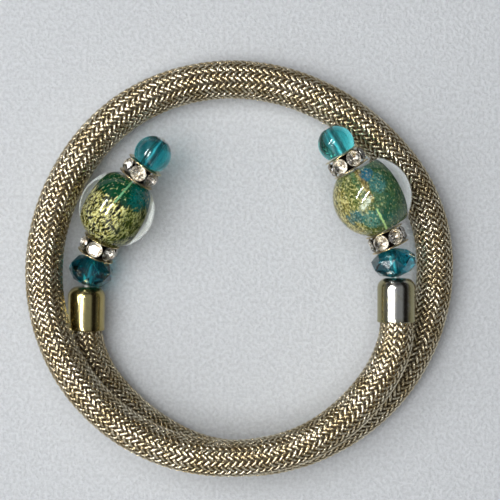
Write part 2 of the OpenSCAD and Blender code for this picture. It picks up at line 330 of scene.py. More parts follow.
sky.feed(backdrop.inputs["Color"], sky.mix(seen, glow, backdrop_rgb))
sky.feed(backdrop.inputs["Strength"], room_strength)

paper = finish("drawing_paper", roughness=0.9)
fibre = paper.noise(paper.spot(), 1.7, 3.0, 0.6)
# painted shade: the paper is painted darker in the hollows of its bumped grain
hollow_shade_rgb = tuple(paper_shade * c for c in paper_rgb)
dress(paper, base_color=paper.mix(fibre.step(0.35, 0.65), hollow_shade_rgb, paper_rgb),
      normal=paper.bump(fibre, paper_grain))
half = paper_size / 2
sheet_points = np.array([[[-half, -half, 0], [half, -half, 0]], [[-half, half, 0], [half, half, 0]]])
grid_surface("paper", sheet_points, paper, closed=(False, False), smooth=[False])


# The sleeve: a tube braided from 40 fine yarns of champagne-gold metal thread, 20 each way round, each
# over two and under two, on a dark cord that hides the spring wire. Its route is its solid's: a turn in
# degrees, how far out it is from the coil's radius, and its lift and swell as shares of the cord.
coil_r = 31.5
cord_d = 6.1
stack_gap = 0.12
TURN, OUT, LIFT, SWELL = range(4)
coil = np.array([
    # turn  out    lift   swell
    [202,   -5.00,  0.050, 0.885],
    [205,   -4.40,  0.036, 0.96],
    [210,   -3.70,  0.018, 0.99],
    [220,   -3.00,  0.000, 1.00],
    [232,   -2.50,  0.000, 1.00],
    [245,   -1.70,  0.000, 1.00],
    [260,   -0.60,  0.000, 1.00],
    [275,    0.00,  0.000, 1.00],
    [300,    0.60,  0.000, 1.00],
    [320,    1.20,  0.000, 1.00],
    [345,    1.80,  0.000, 1.00],
    [368,    2.10,  0.000, 1.00],
    [385,    1.70,  0.000, 1.01],
    [402,    0.80,  0.000, 1.03],
    [425,    0.25,  0.000, 1.05],
    [455,    0.25,  0.010, 1.05],
    [485,    0.30,  0.110, 1.04],
    [515,   -0.25,  0.320, 1.03],
    [545,   -0.30,  0.600, 1.02],
    [575,   -0.25,  0.890, 1.00],
    [605,   -0.50,  1.000, 1.00],
    [630,   -0.85,  1.010, 1.00],
    [655,   -1.00,  1.010, 1.00],
    [672,   -1.50,  1.010, 1.00],
    [687,   -2.00,  1.015, 0.99],
    [696,   -2.60,  1.025, 0.97],
    [702.5, -3.60,  1.040, 0.885],
])
yarns_each_way = 20
yarn_groups = 2
yarn_w = 0.46
yarn_t = 0.28
yarn_wave = 0.13
wave_flat = 1.35
yarn_sides = 6
braid_angle = math.radians(39)
waves_apart = 4
samples_per_wave = 10
ply_along, ply_round = 18.0, 36.0
tuck = 1.2
core_sides = 32
core_step = 0.6
fine_step = 0.05


def smooth_value(column, turn):
    """One column of the coil's table at each turn: a cubic through every row, with the slope at a row
    taken from the rows on both sides of it."""
    t, v = coil[:, TURN], coil[:, column]
    slope = np.gradient(v)
    slope[1:-1] = (v[2:] - v[:-2]) / (t[2:] - t[:-2])
    slope[[0, -1]] = (v[1] - v[0]) / (t[1] - t[0]), (v[-1] - v[-2]) / (t[-1] - t[-2])
    i = np.clip(np.searchsorted(t, turn, side="right") - 1, 0, len(t) - 2)
    h = t[i + 1] - t[i]
    u = (turn - t[i]) / h
    return ((2 * u**3 - 3 * u**2 + 1) * v[i] + (u**3 - 2 * u**2 + u) * h * slope[i]
            + (3 * u**2 - 2 * u**3) * v[i + 1] + (u**3 - u**2) * h * slope[i + 1])


def cord_radius(turn):
    """Half the cord's diameter times its swell."""
    return cord_d / 2 * smooth_value(SWELL, turn)


def coil_point(turn):
    """The middle of the cord about the coil's centre: a circle of radius coil_r + out, as high as half
    the cord plus its lift."""
    r = coil_r + smooth_value(OUT, turn)
    rise = np.maximum(0, smooth_value(LIFT, turn)) * (cord_d + stack_gap)
    height = np.maximum(cord_d / 2, cord_radius(turn)) + rise
    return np.stack([r * np.cos(np.radians(turn)), r * np.sin(np.radians(turn)), height], -1)


# The outline of one turn, from the table's first row that lies on the paper, is even about the origin
outline_turns = coil[coil[:, LIFT] == 0][0, TURN] + np.arange(361)
outline_reach = cord_radius(outline_turns)[:, None]
outline_low = (coil_point(outline_turns) - outline_reach).min(0)
outline_high = (coil_point(outline_turns) + outline_reach).max(0)
coil_middle = (outline_low + outline_high) / 2 * (1, 1, 0)


def cord_point(turn):
    """The middle of the cord about the origin: the coil's point less the middle of its outline."""
    return coil_point(np.asarray(turn, float)) - coil_middle


def unit(vectors):
    """Each vector over its length."""
    return vectors / np.linalg.norm(vectors, axis=-1, keepdims=True)


def across(ways):
    """Two directions square to each way: out, which is level, and up."""
    out = unit(np.cross(ways, (0, 0, 1)))
    return out, np.cross(out, ways)


end_turns = coil[[0, -1], TURN]
probe = 0.01
end_ways = [unit(cord_point(end_turns[0] - probe) - cord_point(end_turns[0] + probe)),
            unit(cord_point(end_turns[1] + probe) - cord_point(end_turns[1] - probe))]
turns = np.append(np.arange(end_turns[0], end_turns[1], fine_step), end_turns[1])
route = cord_point(turns)
radius = cord_radius(turns)
route = np.concatenate([route[:1] + tuck * end_ways[0], route, route[-1:] + tuck * end_ways[1]])
radius = np.concatenate([radius[:1], radius, radius[-1:]])
walked = np.concatenate([[0], np.cumsum(np.linalg.norm(np.diff(route, axis=0), axis=1))])


def along(step):
    """How far each point is along the cord, the cord's middle, the way it runs and its radius, at even
    steps of about that length."""
    s = np.linspace(0, walked[-1], int(walked[-1] / step) + 1)
    middle = np.stack([np.interp(s, walked, route[:, axis]) for axis in range(3)], -1)
    return s, middle, unit(np.gradient(middle, axis=0)), np.interp(s, walked, radius)


def tube(middle, ways, radii, around):
    """Rings of points round a line: middle + radius (cos a out + sin a up)."""
    out, up = across(ways)
    a = -np.arange(around) * 2 * math.pi / around
    ring = np.cos(a)[:, None] * out[:, None, :] + np.sin(a)[:, None] * up[:, None, :]
    return middle[:, None, :] + np.reshape(radii, (-1, 1, 1)) * ring


def braid(direction, first, count):
    """Yarns on the cord: yarn i runs at an even slope round the tube, at angle direction * climb +
    i * pitch, where climb grows with the way along the cord. Its distance from the middle waves by
    yarn_wave: it is out where it passes over two crossing yarns, and in where it passes under the next
    two. The wave is a cosine, drawn higher by wave_flat and cut off flat."""
    pitch = 2 * math.pi / yarns_each_way
    lay_r = cord_d / 2 - yarn_t / 2 - yarn_wave
    climb_per_mm = math.tan(braid_angle) / lay_r
    wave_length = waves_apart * pitch / (2 * climb_per_mm)
    s, middle, ways, radii = along(wave_length / samples_per_wave)
    i = np.arange(first, first + count)[:, None]
    crossing = 2 * climb_per_mm * s / pitch
    phase = (direction * crossing + 2 * i - 0.5) * 2 * math.pi / waves_apart
    wave = np.clip(wave_flat * np.cos(phase), -1, 1) * direction
    a = direction * climb_per_mm * s + i * pitch
    out, up = across(ways)
    radial = np.cos(a)[..., None] * out + np.sin(a)[..., None] * up
    lay = radii - yarn_t / 2 - yarn_wave + yarn_wave * wave
    line = middle + lay[..., None] * radial
    run = unit(np.gradient(line, axis=1))
    side = unit(np.cross(run, radial))
    outward = np.cross(side, run)
    b = -np.arange(yarn_sides) * 2 * math.pi / yarn_sides
    shape = (yarn_w / 2 * np.cos(b)[:, None] * side[:, :, None, :]
             + yarn_t / 2 * np.sin(b)[:, None] * outward[:, :, None, :])
    attributes = {"lies": (wave[..., None] + 1) / 2, "run": s[None, :, None], "round": b / (2 * math.pi)}
    return line[:, :, None, :] + shape, attributes


thread = finish("gold_thread", metallic=1.0)
lies, run, about = (thread.attribute(title) for title in ("lies", "run", "round"))
tarnish = thread.noise(thread.spot(), 0.35, 3.0)
gold = thread.mix(tarnish.step(0.35, 0.65), (0.68, 0.56, 0.34), (0.96, 0.87, 0.65))
# painted shade: each yarn is painted dark brown where it dips under the crossing yarns
gold_with_dip_shade = thread.mix(lies.step(0.4, 0.95), (0.115, 0.073, 0.028), gold)
ply = thread.node("ShaderNodeMath", {"operation": "SINE"}, {0: run * ply_along + about * ply_round})
dress(thread, base_color=gold_with_dip_shade, roughness=lies.step(0.9, 0.2) * 0.22 + 0.22, normal=thread.bump(ply, 0.02))

inner = finish("dark_cord", base_color=(0.07, 0.045, 0.022), roughness=0.6)
middle, ways, radii = along(core_step)[1:]
core = grid_surface("sleeve_core", tube(middle, ways, radii - yarn_t - yarn_wave, core_sides), inner)
fit(core, "braided_metal", "mesh_sleeve")
for direction, name in ((1, "right_hand"), (-1, "left_hand")):
    for group in range(yarn_groups):
        count = yarns_each_way // yarn_groups
        points, attributes = braid(direction, group * count, count)
        yarns = grid_surface(f"yarns_{name}_{group + 1}", points, thread, attributes=attributes)
        fit(yarns, "braided_metal", "mesh_sleeve")


# The spring wire: one length of hard round wire, wound cold to the coil's shape. It runs from the tip of
# one string to the tip of the other, through every bead, and its ends are cut just past the tip beads. The
# table of each string gives the way that its pieces point, from the cap outwards.
wire_d = 0.8
wire_stub = 0.25
wire_sides = 16
wire_step = 2
bend_reach = 0.5
bend_points = 7
cap_l = 7.2
rondelle_l = (5, 4.6)
plate_t = 0.14
# a stone's size along the wire, and round the spacer
stone_d, stone_w = 2.5, 2.8
fit_gap = 0.05
spacer_l = stone_d + 2 * fit_gap + 2 * plate_t
bead_near = (5.4, 5.5)
bead_far = (5.6, 5.25)
tip_near = (1.95, 1.8)
tip_far = 2.8
sides = ("left", "right")
OUTSIDE = (1, -1)
CAP, RONDELLE, INNER_SPACER, BEAD, OUTER_SPACER, TIP = range(6)
strings = np.radians([
    # heading and climb of rondelle, inner spacer, large bead, outer spacer and tip bead
    [(74, 10.5), (65, 12), (60.5, 11), (54.5, 9), (55.5, 8)],
    [(100, 3), (113.5, 4), (118, 5), (121.5, 4), (120, 3)],
])
space_before = np.array([
    # cap, rondelle, inner spacer, large bead, outer spacer, tip bead
    (0, 0.32, 0.22, 0.30, 0.36, 0.15),
    (0, 0.22, 0.29, 0.31, 0.29, 0.15),
])
piece_l = np.array([[cap_l, rondelle_l[s], spacer_l, bead_near[s] + bead_far[s], spacer_l,
                     tip_near[s] + tip_far] for s in (0, 1)])
heading, climb = strings[..., 0], strings[..., 1]
level = np.cos(climb)
string_ways = np.stack([np.cos(heading) * level, np.sin(heading) * level, np.sin(climb)], -1)
string_ways = np.concatenate([np.stack(end_ways)[:, None], string_ways], 1)
steps = np.cumsum((space_before + piece_l)[..., None] * string_ways, axis=1)
knots = cord_point(end_turns)[:, None] + np.concatenate([np.zeros((2, 1, 3)), steps], 1)


def rounded(corners):
    """A line through corners, each rounded by a parabola that starts and ends bend_reach away from it."""
    before = corners[1:-1] + bend_reach * unit(corners[:-2] - corners[1:-1])
    after = corners[1:-1] + bend_reach * unit(corners[2:] - corners[1:-1])
    u = np.linspace(0, 1, bend_points)[:, None, None]
    bends = (1 - u)**2 * before + 2 * u * (1 - u) * corners[1:-1] + u**2 * after
    return np.concatenate([corners[:1], bends.transpose(1, 0, 2).reshape(-1, 3), corners[-1:]])


steel = finish("spring_steel", metallic=0.5, base_color=(0.85, 0.85, 0.83))
drawn = steel.noise(steel.spot(), 3.0, 3.0)
dress(steel, roughness=drawn * 0.2 + 0.35, normal=steel.bump(drawn, 0.01))
stubs = knots[:, -1] + wire_stub * string_ways[:, -1]
inside_cord = cord_point(np.arange(end_turns[0] + wire_step, end_turns[1] - wire_step / 2, wire_step))
line = [rounded(np.concatenate([stubs[s][None], knots[s, -2::-1], inside_cord[[0, -1]][s][None]]))
        for s in (0, 1)]
wire_line = np.concatenate([line[0][:-1], inside_cord, line[1][-2::-1]])
wire_ways = unit(np.gradient(wire_line, axis=0))
wire_points = tube(wire_line, wire_ways, [wire_d / 2] * len(wire_line), wire_sides)
fit(grid_surface("memory_wire", wire_points, steel), "spring_wire", "memory_wire")


# The end caps: two turned and polished brass cups, the left one plated gold and the right one silver. Their
# flanks darken towards brass: partly abrasion, partly painted shade and reflection. The sleeve is glued
# into the open mouth, which has a small rolled lip, and the wire leaves by a hole in the rounded end.
cap_d = 6.25
cap_wall = 0.35
cap_shoulder = 1.7
cap_sides = 96
cap_lip = 0.05
cap_rings = (0.55, 1.2, 3.3)
hole_r = wire_d / 2 + 0.22
hole_round = 0.12


def arc(middle, radius, start, end, points):
    """Points on a circle in the half plane of a profile, from one angle to another, in degrees."""
    a = np.radians(np.linspace(start, end, points))
    return np.stack([middle[0] + radius * np.cos(a), middle[1] + radius * np.sin(a)], -1)


def turned(profile, around):
    """Each point [radius, height] of a profile goes once round the axis, in that many points."""
    a = np.arange(around) * 2 * math.pi / around
    radii, heights = np.asarray(profile, float).T[..., None]
    return np.stack([radii * np.cos(a), radii * np.sin(a), heights + 0 * a], -1)


def place_of(s, place, hang=0.0):
    """The middle of a piece of a string, and the turn that brings +Z along the wire and -X upwards. A
    piece may hang off the wire, towards the outside of the coil."""
    way = string_ways[s, place]
    turn = (0.0, math.acos(way[2]), math.atan2(way[1], way[0]))
    aside = np.array([-math.sin(turn[2]), math.cos(turn[2]), 0])
    middle = knots[s, place] + way * (space_before[s, place] + piece_l[s, place] / 2)
    return middle + OUTSIDE[s] * hang * aside, turn


def threaded(points, middle, turn):
    """Points about a piece's own axis, put where the piece is threaded: middle + x down + y aside + z
    along the wire."""
    tip, swing = turn[1:]
    down = (math.cos(tip) * math.cos(swing), math.cos(tip) * math.sin(swing), -math.sin(tip))
    aside = (-math.sin(swing), math.cos(swing), 0)
    return middle + points @ np.stack([down, aside, np.cross(down, aside)])


cap_r = cap_d / 2
shoulder_start = cap_l - cap_shoulder
cap_profile = np.concatenate([
    arc((cap_r - cap_wall / 2, cap_wall / 2), cap_wall / 2 + cap_lip, 180, 380, 15),
    [(cap_r, height) for height in cap_rings],
    arc((cap_r - cap_shoulder, shoulder_start), cap_shoulder, 0, 90, 19),
    arc((hole_r + hole_round, cap_l - hole_round), hole_round, 90, 180, 6),
    [(hole_r, shoulder_start), (cap_r - cap_wall, shoulder_start), (cap_r - cap_wall, cap_wall)],
]) - (0, cap_l / 2)
polishes = [
    # slot, plated colour, colour of stains and of the darker flanks, and how far the flanks are darkened
    ("gold_cap", (0.46, 0.40, 0.185), (0.28, 0.21, 0.07), 0.5),
    ("silver_cap", (0.45, 0.445, 0.41), (0.33, 0.30, 0.15), 0.9),
]
for s, (slot, plate_rgb, stain_and_shade_rgb, flank_darkening) in enumerate(polishes):
    middle, turn = place_of(s, CAP)
    polish = finish(slot, metallic=1.0)
    spun = polish.noise(polish.spot(middle, turn, (6, 6, 0.05)), 1.0, 3.0)
    stain = polish.noise(polish.spot(middle, turn), 0.8, 4.0, 0.6)
    aside, height = polish.parts(polish.spot(middle, turn))[1:]
    mouth = height.step(-cap_l / 2 + 1.0, -cap_l / 2 + 0.1) * 0.4
    # the flanks seen from above take the darker stain colour: partly abrasion to the brass, partly painted
    # shade and reflection
    flank_abrasion_and_shade = (abs(aside) + (stain - 0.5) * 2.0).step(1.3, 2.1) * flank_darkening
    plating = polish.mix(stain.step(0.55, 0.75) * 0.5 + mouth, plate_rgb, stain_and_shade_rgb)
    dress(polish, base_color=polish.mix(flank_abrasion_and_shade, plating, stain_and_shade_rgb),
          roughness=stain.step(0.4, 0.8) * 0.08 + spun * 0.06 + 0.13,
          normal=polish.bump(spun * 0.3 + stain, 0.012))
    cup = threaded(turned(cap_profile, cap_sides), middle, turn)
    cap = grid_surface(f"end_cap_{sides[s]}", cup, polish, closed=(True, True), crisp=40)
    fit(cap, slot, f"end_cap_{sides[s]}")


# The faceted rondelles: pressed and cut crystal, a teal one on each side, wider than long. Five rows of
# three-cornered facets are ground and polished on each. The hole is drilled through the flats and left
# frosted, and a thin lustre on the glass makes the facets shine, most of all on the right one.
rondelle_d = 7.3
rondelle_flat_r = 0.9
rondelle_crown_r = 2.6
rondelle_cuts = 8
rondelle_rolls = (0, 24)
bore_per_cut = 4
frost_skin, frost_fade = 0.02, 0.1
frosted_rgb = (0.45, 0.80, 0.80)
RADIUS, SHARE = range(2)
rondelle_rows = np.array([
    # radius, share of half the length
    (rondelle_flat_r, -1.0),
    (rondelle_crown_r, -0.78),
    (rondelle_d / 2, -0.3),
    (rondelle_d / 2, 0.3),
    (rondelle_crown_r, 0.78),
    (rondelle_flat_r, 1.0),
])


def cut_rows(radii, heights, cuts):
    """Rings of points, each turned half a facet against the one below, and the triangles between them."""
    rows = np.arange(len(radii))[:, None]
    a = (np.arange(cuts) + rows / 2) * 2 * math.pi / cuts
    radii, heights = np.reshape(radii, (-1, 1)), np.reshape(heights, (-1, 1))
    points = np.stack([radii * np.cos(a), radii * np.sin(a), heights + 0 * a], -1)
    index = np.arange(len(radii) * cuts).reshape(-1, cuts)
    low, high = index[:-1], index[1:]
    low_on, high_on = np.roll(low, -1, 1), np.roll(high, -1, 1)
    bands = np.concatenate([np.stack([low, low_on, high], -1), np.stack([low_on, high_on, high], -1)])
    return points.reshape(-1, 3), bands.reshape(-1, 3)


def drilled_ends(cuts, rows):
    """The two flats round a drilled hole, one face to each cut, and the hole's wall. The hole's two rings
    of points follow the rows of cut points."""
    around = cuts * bore_per_cut
    first = rows * cuts
    bottom, top = first + np.arange(around), first + around + np.arange(around)
    k = np.arange(cuts)
    last = (rows - 1) * cuts
    shift = bore_per_cut * (rows - 1) // 2
    low = [bottom[(bore_per_cut * k + j) % around] for j in range(bore_per_cut + 1)]
    high = [top[(bore_per_cut * (k + 1) - j + shift) % around] for j in range(bore_per_cut + 1)]
    flats = np.concatenate([np.stack([(k + 1) % cuts, k, *low], -1),
                            np.stack([last + k, last + (k + 1) % cuts, *high], -1)])
    wall = np.stack([top, np.roll(top, -1), np.roll(bottom, -1), bottom], -1)
    return flats, wall


def frosting(glass, middle, turn):
    """1 on the wall of the hole through a glass piece, and 0 on its outside: the square of the way off
    the axis, stepped a little past the hole's radius."""
    down, aside = glass.parts(glass.spot(middle, turn))[:2]
    return (down * down + aside * aside).step((hole_r + frost_fade)**2, (hole_r + frost_skin)**2)


crystals = [
    # colour of the glass and of its paler streaks, painted highlights for bright facets, and how much
    # lustre its surface has
    ((0.003, 0.15, 0.20), (0.06, 0.50, 0.53), 0.1),
    ((0.005, 0.16, 0.22), (0.08, 0.50, 0.54), 0.6),
]
for s, (deep_rgb, pale_highlight_rgb, lustre) in enumerate(crystals):
    middle, turn = place_of(s, RONDELLE)
    heights = rondelle_rows[:, SHARE] * rondelle_l[s] / 2
    points, bands = cut_rows(rondelle_rows[:, RADIUS], heights, rondelle_cuts)
    flats, wall = drilled_ends(rondelle_cuts, len(heights))
    bore = turned([(hole_r, heights[0]), (hole_r, heights[-1])], rondelle_cuts * bore_per_cut)
    roll = math.radians(rondelle_rolls[s])
    rolled = [[math.cos(roll), math.sin(roll), 0], [-math.sin(roll), math.cos(roll), 0], [0, 0, 1]]
    points = np.concatenate([points, bore.reshape(-1, 3)]) @ rolled
    crystal = finish(f"teal_crystal_{sides[s]}", transmission_weight=1.0, ior=1.56, coat_weight=lustre,
                     coat_roughness=0.16)
    drilled = frosting(crystal, middle, turn)
    streak = crystal.noise(crystal.spot(middle, turn, (1, 1, 3)), 0.6, 2.0)
    # painted highlights: paler streaks along the axis stand for facets that catch the light
    tint = crystal.mix(streak.step(0.5, 0.6), deep_rgb, pale_highlight_rgb)
    dress(crystal, base_color=crystal.mix(drilled, tint, frosted_rgb), roughness=drilled * 0.5)
    title = f"faceted_rondelle_{sides[s]}"
    rondelle = surface(title, threaded(points, middle, turn), [bands, flats, wall], [crystal],
                       smooth=[False, False, True])
    fit(rondelle, "teal_crystal", title)


# The rhinestone spacers: two stamped plates and a hub of gilt brass, soldered together, with six small
# glass brilliants, foiled on their backs, held between the plates' rims. The hub between the plates, behind
# the stones, is painted near black: a painted shade for that deep gap.
plate_d = 6.3
hub_d = 2.7
stones = 6
stone_reach = 2.62
stone_table = 0.62
stone_crown = 0.42
stone_back = 0.8
stone_cuts = 8
stone_star = 0.80
girdle_t = 0.05
spacer_rolls = ((53, 0), (28, 24))
spacer_sides = 72

plate_r = plate_d / 2
low_rim = arc((plate_r - plate_t / 2, -spacer_l / 2 + plate_t / 2), plate_t / 2, -90, 90, 9)
spacer_profile = np.concatenate([
    [(hole_r, -spacer_l / 2)],
    low_rim,
    [(hub_d / 2, -spacer_l / 2 + plate_t), (hub_d / 2, spacer_l / 2 - plate_t)],
    low_rim + (0, spacer_l - plate_t),
    [(hole_r, spacer_l / 2)],
])
channel = spacer_profile[:, :1] == hub_d / 2


def brilliant():
    """A small brilliant about its own axis, table up: an eight-cornered table, a row of star facets,
    kites whose four corners lie in one plane, halves down to a thin girdle, and a back that runs to a
    point."""
    r, top = stone_d / 2, stone_d / 2 * stone_crown
    half_cut = math.pi / stone_cuts
    table_r, star_r = r * stone_table, r * stone_star
    star_z = top * (r - star_r * math.cos(half_cut)) / (r - table_r)
    k = np.arange(stone_cuts)
    g = np.arange(2 * stone_cuts)
    table_a, star_a, girdle_a = 2 * k * half_cut, (2 * k + 1) * half_cut, g * half_cut
    rings = [(table_r, table_a, top), (star_r, star_a, star_z), (r, girdle_a, girdle_t / 2),
             (r, girdle_a, -girdle_t / 2)]
    corners = [np.stack([reach * np.cos(a), reach * np.sin(a), 0 * a + z], -1) for reach, a, z in rings]
    points = np.concatenate([*corners, [(0, 0, -r * stone_back)]])
    table, star = k, stone_cuts + k
    girdle, belt, point = 2 * stone_cuts + g, 4 * stone_cuts + g, 6 * stone_cuts
    table_on, star_back = np.roll(table, -1), np.roll(star, 1)
    girdle_on, belt_on = np.roll(girdle, -1), np.roll(belt, -1)
    stars = np.stack([table, star, table_on], -1)
    kites = np.stack([table, star_back, girdle[::2], star], -1)
    halves = np.concatenate([np.stack([star, girdle[::2], girdle[1::2]], -1),
                             np.stack([star, girdle[1::2], girdle_on[1::2]], -1)])
    rim = np.stack([girdle, belt, belt_on, girdle_on], -1)
    back = np.stack([belt, 0 * belt + point, belt_on], -1)
    return points, [table[None], stars, kites, halves, rim, back]


def stone_ring(roll):
    """The points of a spacer's stones, and the faces of them all: each stone is widened round the spacer
    and stands stone_reach off the wire, with its table outwards."""
    points, faces = brilliant()
    a = np.radians(roll) + np.arange(1, stones + 1) * 2 * math.pi / stones
    outward = np.stack([np.cos(a), np.sin(a), 0 * a], -1)
    aside = np.stack([-np.sin(a), np.cos(a), 0 * a], -1)
    back = np.broadcast_to((0.0, 0.0, -1.0), outward.shape)
    axes = np.stack([back, aside, outward], 1)
    placed = stone_reach * outward[:, None] + points * (1, stone_w / stone_d, 1) @ axes
    count = len(points) * np.arange(stones)[:, None, None]
    return placed.reshape(-1, 3), [(group + count).reshape(-1, group.shape[1]) for group in faces]


gilt = finish("gilt_brass", metallic=1.0)
painted_channel_shade = gilt.attribute("channel")
grime = gilt.noise(gilt.spot(), 1.6, 4.0, 0.6)
bright = gilt.mix(grime.step(0.4, 0.7), (0.80, 0.66, 0.38), (0.46, 0.36, 0.17))
# painted shade: the hub behind the stones is painted near black
dress(gilt, base_color=gilt.mix(painted_channel_shade, bright, (0.010, 0.008, 0.006)),
      roughness=grime * 0.2 + painted_channel_shade * 0.35 + 0.12, normal=gilt.bump(grime, 0.015))
clear = finish("stone_glass", transmission_weight=1.0, ior=1.58, roughness=0.0)
dress(clear, base_color=clear.mix(clear.noise(clear.spot(), 0.9), (1.0, 1.0, 1.0), (0.97, 0.95, 0.93)))
foil = finish("stone_foil", metallic=1.0, roughness=0.06)
dimples = foil.noise(foil.spot(), 2.2, 3.0)
dress(foil, base_color=foil.mix(dimples.step(0.44, 0.60), (0.82, 0.81, 0.76), (0.37, 0.32, 0.25)),
      normal=foil.bump(dimples, 0.12))
for s in (0, 1):
    for p, (place, name) in enumerate(((INNER_SPACER, "inner"), (OUTER_SPACER, "outer"))):
        middle, turn = place_of(s, place)
        title = f"{sides[s]}_{name}"
        plates = threaded(turned(spacer_profile, spacer_sides), middle, turn)
        setting = grid_surface(f"spacer_{title}", plates, gilt, closed=(True, True), crisp=40,
                               attributes={"channel": channel})
        fit(setting, "spacer_metal", f"spacer_{title}")
        points, faces = stone_ring(spacer_rolls[s][p])
        gems = surface(f"rhinestones_{title}", threaded(points, middle, turn), faces, [clear, foil],
                       smooth=[False] * len(faces), uses=[0, 0, 0, 0, 0, 1])
        fit(gems, "rhinestone", *[f"rhinestone_{title}_{i + 1}" for i in range(stones)])


# The large beads: wound by hand over a rod in a flame. A coloured core is rolled in gold leaf, which
# cracks into flakes, and is cased in clear glass. The hole is wide, so the bead hangs a bit off the wire.
bead_d = (12.4, 12.9)
core_d = (6.7, 7.8)
core_full = 0.5
core_skin = 0.35
bead_hole_r = 0.8
bead_hang = 0.32
casing_off = (0, 0.6)
core_off = (0.1, -0.15)
core_hole_r = 0.78
bead_sides = 128
outline_points = 72
bead_edge = 0.5


def round_outline(width, near, far, edge, hole):
    """A circle cut by two flats, each with an edge rounded by fire, and the hole's radius at both ends.
    Height 0 is halfway between the flats."""
    r, middle = width / 2, (near - far) / 2
    ends = []
    for flat in (near, far):
        across_edge = math.sqrt((r - edge)**2 - (flat - edge)**2)
        lean = math.degrees(math.atan2(flat - edge, across_edge))
        ends.append((lean, arc((across_edge, flat - edge), edge, lean, 90, 9)))
    low, high = ends[0][1][::-1] * (1, -1), ends[1][1]
    side = arc((0, 0), r, -ends[0][0], ends[1][0], outline_points)[1:-1]
    return np.concatenate([[(hole, -near)], low, side, high, [(hole, far)]]) + (0, middle)


def cased_core(s):
    """The core's barrel, off the hole's axis, and the wall of the hole through it. The barrel's radius
    falls off from the middle as a power of a cosine, and its height grows as the sine."""
    r, half = core_d[s] / 2, (bead_near[s] + bead_far[s]) / 2 - core_skin
    last = math.acos(((bead_hole_r + abs(core_off[s])) / r)**(1 / core_full))
    t = last * np.sin(np.linspace(-math.pi / 2, math.pi / 2, outline_points))
    rings = turned(np.stack([r * np.cos(t)**core_full, half * np.sin(t)], -1), bead_sides)
    rings += (0, OUTSIDE[s] * core_off[s], 0)
    end = rings[-1, 0, 2]
    return np.concatenate([rings, turned([(core_hole_r, end), (core_hole_r, -end)], bead_sides)])


casing_tints = (((0.94, 0.97, 0.93), (0.90, 0.95, 0.90)), ((0.96, 0.98, 0.97), (0.92, 0.96, 0.95)))
for s in (0, 1):
    middle, turn = place_of(s, BEAD, bead_hang)
    casing_glass = finish(f"casing_glass_{sides[s]}", transmission_weight=1.0, ior=1.5, roughness=0.0)
    drift = casing_glass.noise(casing_glass.spot(middle, turn), 0.25, 2.0)
    dress(casing_glass, base_color=casing_glass.mix(drift, *casing_tints[s]))
    profile = round_outline(bead_d[s], bead_near[s], bead_far[s], bead_edge, bead_hole_r)[1:-1]
    shell = turned(profile, bead_sides) + (0, OUTSIDE[s] * casing_off[s], 0)
    hole = turned([(bead_hole_r, profile[-1, 1]), (bead_hole_r, profile[0, 1])], bead_sides)
    drop = threaded(np.concatenate([shell, hole]), middle, turn)
    casing = grid_surface(f"glass_casing_{sides[s]}", drop, casing_glass, closed=(True, True), crisp=40)
    fit(casing, "clear_glass", f"glass_casing_{sides[s]}")

# Left core: dark green glass, teal on its inner side, with a painted shadow there, and strokes of gold leaf
# with painted cream glints over all but its outer end, and a paler streak along the hole at that end
middle, turn = place_of(0, BEAD, bead_hang)
leaf = finish("foil_core_left", ior=1.0)
aside, on = leaf.parts(leaf.spot(middle, turn))[1:]
cloud = leaf.noise(leaf.spot(middle, turn), 0.5, 3.0)
stroke_lean = 0.35
askew = (turn[0], turn[1], turn[2] - stroke_lean)
strokes = leaf.noise(leaf.spot(middle, askew, (1, 1, 2.8)), 3.7, 2.0, 0.6, 0.9)
crumbs = leaf.noise(leaf.spot(middle, turn), 6.0, 1.0)
cover = (on + (cloud - 0.5) * 4.0 + (crumbs - 0.5) * 1.5).step(2.3, 0.9)
shaded = (aside + (cloud - 0.5) * 3.0).step(-0.6, -2.4)
bare = leaf.mix((aside + (cloud - 0.5) * 3.0).step(-0.4, -2.0), (0.003, 0.07, 0.025), (0.003, 0.17, 0.16))
bare = leaf.mix(crumbs.step(0.5, 0.6), bare, (0.002, 0.03, 0.016))
under = leaf.mix(shaded, (0.006, 0.008, 0.001), (0.035, 0.052, 0.010))
flake = (strokes + cover * 0.140 - 0.135).step(0.490, 0.520)
# painted highlight: the brightest bits of the leaf strokes are painted near white
glint = (strokes * 0.5 + crumbs * 0.5 + cover * 0.03).step(0.53, 0.58)
gold_tone = leaf.mix(crumbs.step(0.45, 0.6), (0.42, 0.35, 0.035), (0.84, 0.72, 0.15))
gold_tone = leaf.mix(glint, gold_tone, (1.0, 0.95, 0.48))
gold_tone = leaf.mix(shaded * 0.6, gold_tone, (0.22, 0.28, 0.06))
streak = abs(aside + on * 0.16 - 0.64 + (crumbs - 0.5) * 0.3).step(0.20, 0.08) * on.step(1.0, 1.5)
tone = leaf.mix(flake, leaf.mix(cover, bare, under), gold_tone)
tone = leaf.mix(streak * 0.7, tone, (0.30, 0.70, 0.38))
dress(leaf, base_color=tone, metallic=flake * 0.3, roughness=0.5 - flake * 0.15,
      normal=leaf.bump(strokes * flake, 0.2))
barrel = threaded(cased_core(0), middle, turn)
core = grid_surface("foil_core_left", barrel, leaf, closed=(True, True), crisp=50)
fit(core, "gold_foil_glass", "foil_core_left")

